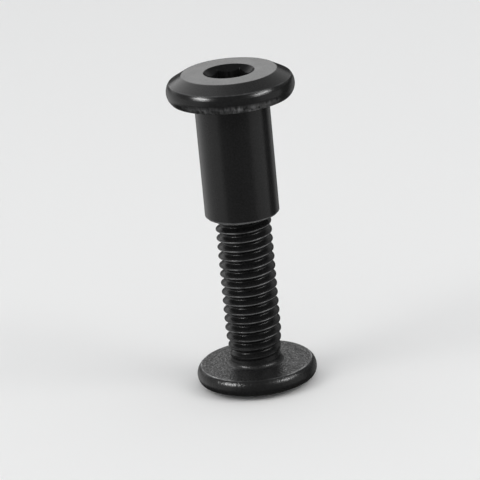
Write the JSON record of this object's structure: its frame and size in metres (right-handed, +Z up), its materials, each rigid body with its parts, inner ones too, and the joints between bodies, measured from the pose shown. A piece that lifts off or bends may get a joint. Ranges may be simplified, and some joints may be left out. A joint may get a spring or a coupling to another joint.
{
  "type": "binding barrel screw",
  "caption": "Black steel binding barrel and screw: flanged barrel nut and low-headed machine screw, both with hex sockets, screwed together standing on the screw's head.",
  "frame": {"origin": "centre of the screw head's flat face, which the part stands on", "axes": "+Z up the common axis, from the screw's head to the barrel nut's head; the part is round, so +X and +Y have no feature of their own"},
  "size_m": [0.0134, 0.0134, 0.0342],
  "materials": {
    "screw_black_oxide": "black oxide on steel, satin, with turning marks on the head",
    "nut_black_oxide": "black oxide on steel, satin, smooth turned barrel"
  },
  "bodies": {
    "screw": {"screw": "screw_black_oxide"},
    "barrel_nut": {"barrel_nut": "nut_black_oxide"}
  },
  "joints": [
    {"name": "nut_travel", "type": "slide", "parent": "screw", "child": "barrel_nut", "axis": [0, 0, 1], "range_m": [-0.007, 0.006]}
  ]
}
